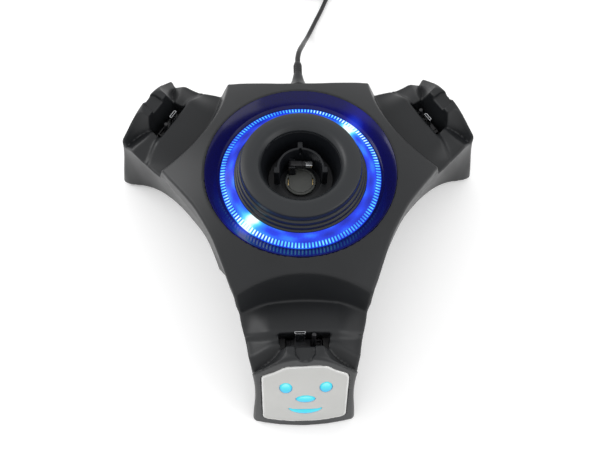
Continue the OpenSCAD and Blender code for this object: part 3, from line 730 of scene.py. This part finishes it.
def cup_distance(x, y, z):
    """The socket's cup, its open-fronted shroud, the three small ribs and the plug's two lugs."""
    x, y = x - HUB_X, y - HUB_Y
    r = np.hypot(x, y)
    cone_out = (r - np.minimum(24.5 + (z - 70.5) * 0.2045, 29.1)) * 0.97
    cone_in = (22 + (z - 78) * 0.261 - r) * 0.967
    bowl = np.maximum(np.maximum(cone_out, z - 96.4), round_max(cone_in, 78 - z, 1.5))
    base = np.maximum(np.maximum(r - 24.4 - (z - 70.5) * 0.2, z - 78), 70.5 - z)
    well = np.maximum(r - SHROUD_R, 73 - z)
    floor = round_max(base, -well, 0.4)
    out = np.minimum(np.maximum(bowl, 70.5 - z), floor)
    shroud = round_max(round_max(r - SHROUD_R - 1.8, SHROUD_R - r, 0.5), z - 93.5, 0.5)
    shroud = round_max(np.maximum(shroud, 72 - z), -2 - y, 0.4)
    out = round_min(out, shroud, 0.4)
    rear = box_distance(x, y - 17.6, z - 83, (1.8, 3.1, 10.5), 0.5)
    sides = box_distance(np.abs(x) - 16.35, y + 1.75, z - 83, (1.9, 2.25, 10.5), 0.6)
    out = np.minimum(out, np.minimum(rear, sides))
    slot = box_distance(x, y - 14.6, z - 92, (0.9, 0.9, 5), 0.2)
    out = np.maximum(out, -slot)
    lugs = np.minimum(box_distance(x + 6, y - 6.05, z - 78.6, (2.4, 0.75, 5.6), 0.3),
                      box_distance(x + 6, y - 12.35, z - 78.6, (2.4, 0.75, 5.6), 0.3))
    return np.minimum(out, lugs)


def build_cup(plastic):
    low, high = low_high("hub_cup")
    verts, faces = surface(cup_distance, low, high, 0.55)
    piece = add_mesh("cup", verts, faces, plastic, "dock")
    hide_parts("hub_cup")


def puck_distance(x, y, z):
    x, y = x - HUB_X, y - HUB_Y
    r = np.hypot(x, y)
    disc = round_max(r - PUCK_R, z - 75.1, 0.7)
    groove = np.abs(r - 9.3) - 0.25
    disc = np.maximum(np.maximum(disc, 73 - z), -np.maximum(groove, 74.7 - z))
    shank = np.maximum(np.maximum(r - 5, z - 73.5), 67 - z)
    disc = np.minimum(disc, shank)
    for s in (-1, 1):
        disc = np.maximum(disc, -box_distance(x - s * 8.6, y, z - 75, (0.45, 3, 4), 0.1))
    notch = box_distance(x + 6, y - 6.05, z - 77, (2.6, 0.95, 6), 0.1)
    return np.maximum(disc, -notch)


def build_puck(plastic):
    low, high = low_high("contact_puck")
    verts, faces = surface(puck_distance, low, high, 0.28)
    piece = add_mesh("puck", verts, faces, plastic, "dock")
    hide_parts("contact_puck")


def fold_carrier_distance(x, y, z):
    x, y, z = at_hub_plug(x, y, z)
    barrel = round_max(np.hypot(x, z) - 2.6, np.abs(y) - 2.1, 0.35)
    block = box_distance(x - 5, y, z, (4.5, 2.1, 2.2), 0.45)
    collar = box_distance(x - 8.9, y, z, (0.6, 2.1, 2.2), 0.3)
    groove = np.maximum(np.abs(x - 7.4) - 0.45, -box_distance(x - 5, y, z, (9, 1.75, 1.85), 0.2))
    out = np.minimum(round_min(barrel, np.maximum(block, -groove), 0.5), collar)
    return np.maximum(out, 1.03 - np.hypot(x, z))


def build_hub_plug(plastic, metal):
    low, high = low_high("hub_plug_carrier")
    verts, faces = surface(fold_carrier_distance, low, high, 0.2)
    piece = add_mesh("fold_carrier", verts, faces, plastic, "hub_plug")
    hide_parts("hub_plug_carrier")
    low, high = low_high("hub_plug_shell")
    middle, half = (low + high) / 2, (high - low) / 2

    def tip(x, y, z):
        x, y, z = x - middle[0], y - middle[1], z - middle[2]
        outer = box_distance(x, y, z, half, 0.4)
        return np.maximum(outer, -box_distance(x - 1.3, y, z, half - [0.3, 0.4, 0.4], 0.3))

    verts, faces = surface(tip, low, high, 0.14)
    piece = add_mesh("fold_plug_tip", verts, faces, metal, "hub_plug")
    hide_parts("hub_plug_shell")


# ---------- the plug in each arm's pocket

HINGE_A, HINGE_Z = 115.2, 56.8
CARRIER_HALF = 11.5
CARRIER_TOP = 8.0
PLUG_TIP = 22.0
PLUG_OFF = 2.75


def arm_place(arm, a, b, z):
    """From an arm's frame to the dock's."""
    angle = math.radians(ARMS[arm])
    return np.stack([HUB_X + a * math.cos(angle) - b * math.sin(angle),
                     HUB_Y + a * math.sin(angle) + b * math.cos(angle), z], axis=1)


def hinge_place(arm, points):
    """From the frame of a plug's hinge, which leans inwards, to the dock's."""
    x, y, z = np.asarray(points, float).T
    a = HINGE_A + x * math.cos(LEAN) - z * math.sin(LEAN)
    return arm_place(arm, a, y, HINGE_Z + x * math.sin(LEAN) + z * math.cos(LEAN))


def carrier_distance(x, y, z):
    """The plug's rocking block: a stepped top, a recess with a guide post, and two trunnions."""
    block = box_distance(x, y, z - 1.5, (3.6, CARRIER_HALF, 6.5), 0.7)
    recess = box_distance(x, y - 7.15, z - 8, (2.4, 3.2, 3), 0.4)
    step = box_distance(x, y + 9.9, z - 8, (4.5, 1.3, 1.2), 0.2)
    block = np.maximum(np.maximum(block, -recess), -step)
    post = round_max(np.hypot(x, y - 6.0) - 1.4, z - 20, 0.6)
    post = np.maximum(post, 4 - z)
    pins = round_max(np.hypot(x, z) - 1.5, np.abs(y) - 14.9, 0.3)
    return np.minimum(np.minimum(block, post), pins)


def plug_shell_distance(x, y, z):
    """A micro USB plug: its two lower corners cut away, and two latch windows."""
    y = y + PLUG_OFF
    outer = round_max(np.abs(x) - 0.9, np.abs(y) - 3.425, 0.35)
    chamfer = (np.abs(y) + x - 3.6) * 0.707
    outer = np.maximum(outer, chamfer)
    tube = np.maximum(np.maximum(outer, z - PLUG_TIP), CARRIER_TOP - z)
    hollow = np.maximum(outer + 0.3, 12 - z)
    latch = box_distance(x + 0.9, np.abs(y) - 1.9, z - 17.2, (0.5, 0.45, 1.2), 0.1)
    return np.maximum(np.maximum(tube, -hollow), -latch)


def tongue_distance(x, y, z):
    return box_distance(x - 0.1, y + PLUG_OFF, z - 16.4, (0.35, 2.6, 4.4), 0.15)


def build_arm_plugs(plastic, metal):
    forms = [
        ("carrier", carrier_distance, (-3.6, -14.9, -5), (3.6, 14.9, 20), 0.3, plastic, "dark_plastic"),
        ("shell", plug_shell_distance, (-0.9, -6.2, 8), (0.9, 0.7, 22), 0.13, metal, "plated_metal"),
        ("tongue", tongue_distance, (-0.35, -5.4, 12), (0.5, -0.1, 21), 0.14, plastic, "dark_plastic")]
    for part, shape, low, high, step, finish, name in forms:
        verts, faces = surface(shape, low, high, step)
        for arm in ARMS:
            piece = add_mesh(f"{arm}_micro_{part}", hinge_place(arm, verts), faces, finish,
                             f"{arm}_plug")
            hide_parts(f"{arm}_plug_{part}")


# ---------- the indicator plate in the front arm's end

EYES = ((-12.1, 53.6), (13.4, 54.0))
NOSE = (0.6, 39.6)
MOUTH = (0.6, 27.8)
EYE_SIZE = (4.1, 6.5)
NOSE_SIZE = (6.5, 4.5)
MOUTH_HALF, MOUTH_DROP, LIP_DROP = 11.4, 8.0, 1.8
PLATE_OUT, PLATE_IN = 0.4, -1.2


def oval_distance(b, z, centre, w, h):
    x, y = (b - centre[0]) / w, (z - centre[1]) / h
    k = np.hypot(x, y)
    return k * (k - 1) / np.maximum(np.hypot(x / w, y / h), 1e-6)


def mouth_distance(b, z):
    lower = oval_distance(b, z, MOUTH, MOUTH_HALF, MOUTH_DROP)
    reach = np.clip((b - MOUTH[0]) / MOUTH_HALF, -1, 1)
    upper = z - (MOUTH[1] - LIP_DROP * np.sqrt(1 - reach ** 2))
    return round_max(lower, upper, 0.7)


def windows_distance(b, z):
    eyes = np.minimum(*[oval_distance(b, z, eye, *EYE_SIZE) for eye in EYES])
    nose = oval_distance(b, z, NOSE, *NOSE_SIZE)
    return np.minimum(np.minimum(eyes, nose), mouth_distance(b, z))


def on_end(x, y, z):
    """The front arm's sideways and outward distances, and the depth behind its end face."""
    b, a = x - HUB_X, HUB_Y - y
    return b, (a - end_face(b, z)) * math.cos(LEAN)


def plate_distance(x, y, z):
    b, depth = on_end(x, y, z)
    edge = polygon_distance(b, z, PLATE)
    face = PLATE_OUT - 0.3 * ease(-edge, 1.0, 2.2)
    plate = round_max(edge, depth - face, 0.35)
    plate = round_max(plate, -windows_distance(b, z), 0.15)
    return np.maximum(plate, PLATE_IN - depth)


def window_distance(x, y, z):
    b, depth = on_end(x, y, z)
    edge = windows_distance(b, z) + 0.2
    return np.maximum(round_max(edge, depth - 0.1 - 0.25 * ease(-edge, 0, 3), 0.3), PLATE_IN - depth)


def build_plate(paint, rim, lens):
    low, high = low_high("indicator_plate")
    low, high = low - [1, 5, 9], high + [1, 1, 3]
    verts, faces = surface(plate_distance, low, high, 0.55)
    plate = add_mesh("indicator_plate_skin", verts, faces, paint, "dock")
    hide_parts("indicator_plate")
    plate.data.materials.append(rim)
    b = verts[faces].mean(1)
    # The faces within 1 mm of the plate's edge take the painted edge highlight.
    in_edge_highlight = polygon_distance(b[:, 0] - HUB_X, b[:, 2], PLATE) > -1.0
    plate.data.polygons.foreach_set("material_index", in_edge_highlight.astype(np.int32))
    verts, faces = surface(window_distance, low, high, 0.45)
    centres = [(*eye, EYE_SIZE[1]) for eye in EYES] + [(*NOSE, NOSE_SIZE[1]), (MOUTH[0], MOUTH[1] - 4, 5)]
    owner = np.argmin([np.hypot(verts[:, 0] - c[0], (verts[:, 2] - c[1]) * 0.8) for c in centres], axis=0)
    middle = np.array([c[1] for c in centres])[owner]
    half = np.array([c[2] for c in centres])[owner]
    edge = windows_distance(verts[:, 0] - HUB_X, verts[:, 2])
    glow = 0.66 + 0.26 * np.clip((verts[:, 2] - middle) / half, -1, 1) - 0.22 * ease(edge, -1.6, 0)
    lit = add_mesh("indicator_lenses", verts, faces, lens, "dock", attributes={"glow": glow})
    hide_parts("indicator_windows")


# ---------- where the lead leaves the dock

SPOUT_Z = 78.5
SPOUT_START = 74.4
BOOT_START = 92.0


def lathe_back(name, profile, start, material, node, radii):
    """A turned piece whose axis runs straight back from the hub."""
    verts, faces = lathe(rounded(profile, radii), 96, (0, 0))
    x, y, z = verts.T
    verts = np.stack([x, HUB_Y + start + z, SPOUT_Z - y], axis=1)
    piece = add_mesh(name, verts, faces, material, "dock")
    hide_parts(node)


def build_spout(plastic, rubber):
    bore = CORD_R + 0.1
    lathe_back("spout", [(bore, -2.4), (4, -2.4), (4, 2.4), (9.5, 2.6), (7.6, 5), (6.15, 7.6), (5, 10.5),
                         (4.2, 14), (3.6, 17.2), (3.3, 17.6), (bore, 17.6)], SPOUT_START, plastic,
               "cord_spout", [0.1, 0.2, 0.1, 0.1, 2, 2, 2, 2, 0.5, 0.3, 0.2])
    ribs = [(r + d, z) for z in (2.2, 4.2, 6.2, 8.2) for r, d, z in
            ((3.3, 0, z - 0.5), (3.3, -0.35, z - 0.4), (3.3, -0.35, z + 0.4), (3.3, 0, z + 0.5))]
    lathe_back("boot", [(0.6, 0), (3.3, 0)] + ribs + [(2.9, 11), (2.5, 12), (0.6, 12)], BOOT_START, rubber,
               "cord_boot", 0.25)


PLUG_HEADING = 24


def build_usb_plug(rubber, metal, insulator):
    """The lead's USB plug, lying beside the coil."""
    heading = math.radians(PLUG_HEADING)
    origin = np.array(TAIL[-1], float)

    def place(points):
        x, y, z = np.asarray(points).T
        return np.stack([origin[0] + x * math.cos(heading) - y * math.sin(heading),
                         origin[1] + x * math.sin(heading) + y * math.cos(heading), origin[2] + z], axis=1)

    def grip(x, y, z):
        cone = round_max(np.hypot(y, z) - 2.5 - 0.12 * x, x - 8, 0.4)
        cone = np.maximum(cone, -x)
        body = box_distance(x - 16.5, y, z, (9.5, 7.6, 4), 1.3)
        grips = box_distance((x - 13.5 + 1) % 2 - 1, np.abs(y) - 7.7, z, (0.45, 0.5, 3), 0.1)
        return np.minimum(cone, np.maximum(body, -np.maximum(grips, np.abs(x - 14.5) - 4)))

    def shell(x, y, z):
        outer = box_distance(x - 32, y, z, (6, 6, 2.25), 0.35)
        outer = np.maximum(outer, -box_distance(x - 33.5, y, z, (6.6, 5.7, 1.95), 0.2))
        return np.maximum(outer, -box_distance(x - 33, np.abs(y) - 2.7, z - 2.1, (1, 1, 0.6), 0.1))

    def tongue(x, y, z):
        return box_distance(x - 31.9, y, z - 0.95, (5.4, 5.4, 0.95), 0.2)

    made = []
    for name, shape, low, high, finish, node, slot in (
            ("lead_plug_grip", grip, (0, -7.6, -4), (26, 7.6, 4), rubber, "usb_plug_grip", "cord_rubber"),
            ("lead_plug_shell", shell, (26, -6, -2.25), (38, 6, 2.25), metal, "usb_plug_shell",
             "plated_metal"),
            ("lead_plug_tongue", tongue, (26.5, -5.4, 0), (37.3, 5.4, 1.9), insulator, "usb_plug_tongue",
             "plug_insulator")):
        verts, faces = surface(shape, low, high, 0.3)
        piece = add_mesh(name, place(verts), faces, finish, "dock")
        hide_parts(node)
        made.append(piece)
    return made


# ---------- the CAD parts that show as they are

CARRIED = {
    "base_plastic": ((0.014, 0.014, 0.016), 0.55, 1600.0, 0.06, 0.0),
    "foot_rubber": ((0.010, 0.010, 0.010), 0.8, 900.0, 0.10, 0.0),
    "steel": ((0.42, 0.42, 0.44), 0.32, 900.0, 0.03, 1.0),
    "hub_plastic": ((0.040, 0.046, 0.053), 0.36, 2600.0, 0.04, 0.0),
    "contact_metal": ((0.75, 0.55, 0.25), 0.25, 900.0, 0.02, 1.0),
    "dark_plastic": ((0.010, 0.010, 0.012), 0.45, 2600.0, 0.05, 0.0),
    "board": ((0.012, 0.075, 0.035), 0.4, 1200.0, 0.03, 0.0),
    "lamp": ((0.75, 0.78, 0.80), 0.25, 900.0, 0.02, 0.0),
    "component": ((0.02, 0.02, 0.022), 0.4, 1500.0, 0.04, 0.0),
    "wire": ((0.45, 0.03, 0.02), 0.4, 900.0, 0.03, 0.0),
    "cord_rubber": ((0.012, 0.012, 0.013), 0.5, 1500.0, 0.06, 0.0),
}


def finish_cad_parts():
    """Every CAD part that still shows gets the finish of its own slot, or dark plastic where its slot has
    none here.
    """
    slots = {row["node"]: row["material_slot"] for row in frame["record"]["subparts"]}
    made = {}
    for node, piece in frame["nodes"].items():
        if piece.hide_render:
            continue
        name = slots.get(node, "base_plastic")
        name = name if name in CARRIED else "dark_plastic"
        if name not in made:
            colour, rough, grain, depth, metallic = CARRIED[name]
            made[name] = moulded("cad_" + name, colour, rough, grain, depth, metallic=metallic)
        piece.data.materials.clear()
        piece.data.materials.append(made[name])


# ---------- floor and light

FLOOR_HALF = 3
FLOOR_GLOW = 0.14


def lay_floor():
    """A plain pale floor that glows a little, so that it stays near white beside the dock."""
    made, tree, shader = new_material("floor")
    noise = tree.nodes.new("ShaderNodeTexNoise")
    noise.inputs["Scale"].default_value = 30.0
    tone = tree.nodes.new("ShaderNodeValToRGB")
    tone.color_ramp.elements[0].color = (0.93, 0.93, 0.93, 1)
    tone.color_ramp.elements[1].color = (0.95, 0.95, 0.95, 1)
    tree.links.new(noise.outputs["Fac"], tone.inputs["Fac"])
    tree.links.new(tone.outputs["Color"], shader.inputs["Base Color"])
    shader.inputs["Roughness"].default_value = 0.7
    shader.inputs["Specular IOR Level"].default_value = 0.1
    shader.inputs["Emission Color"].default_value = (1, 1, 1, 1)
    shader.inputs["Emission Strength"].default_value = FLOOR_GLOW
    mesh = bpy.data.meshes.new("floor")
    corners = [(FLOOR_HALF * x, FLOOR_HALF * y, 0) for x, y in ((-1, -1), (1, -1), (1, 1), (-1, 1))]
    mesh.from_pydata(corners, [], [(0, 1, 2, 3)])
    mesh.materials.append(made)
    floor = bpy.data.objects.new("floor", mesh)
    bpy.context.collection.objects.link(floor)


def add_light(name, where, target, size, power, colour=(1, 1, 1)):
    data = bpy.data.lights.new(name, "AREA")
    data.shape = "RECTANGLE"
    data.size, data.size_y = size
    data.energy = power
    data.color = colour
    light = bpy.data.objects.new(name, data)
    light.location = where
    light.rotation_euler = (Vector(target) - Vector(where)).to_track_quat("-Z", "Y").to_euler()
    bpy.context.collection.objects.link(light)


def light_scene():
    scene = bpy.context.scene
    scene.view_settings.view_transform = "Standard"
    world = bpy.data.worlds.new("studio")
    scene.world = world
    world.use_nodes = True
    world.node_tree.nodes["Background"].inputs["Color"].default_value = (1, 1, 1, 1)
    world.node_tree.nodes["Background"].inputs["Strength"].default_value = 1.0
    add_light("key", (-0.75, 0.35, 0.55), (0, 0.02, 0.05), (0.5, 0.5), 2.6)
    add_light("fill", (0.75, -0.3, 0.5), (0, 0, 0.05), (0.6, 0.6), 1.6)


def main():
    set_camera()
    plastic, dark, rubber, metal = shell_plastic(), dark_plastic(), cord_rubber(), plated_metal()
    insulator = moulded("plug_insulator", (0.75, 0.75, 0.73), 0.4, 1500.0, 0.02)
    plug = build_usb_plug(rubber, metal, insulator)
    lay_lead(rubber)
    build_shell(plastic)
    build_bezel(dish_plastic_painted_glow())
    build_ring(ring_lens())
    build_collar(hub_plastic())
    build_cup(cup_plastic())
    build_puck(puck_plastic())
    build_hub_plug(dark, metal)
    build_arm_plugs(dark, metal)
    build_plate(plate_paint(), plate_edge_painted_highlight(), window_lens())
    build_spout(plastic, rubber)
    finish_cad_parts()
    lay_floor()
    light_scene()


main()
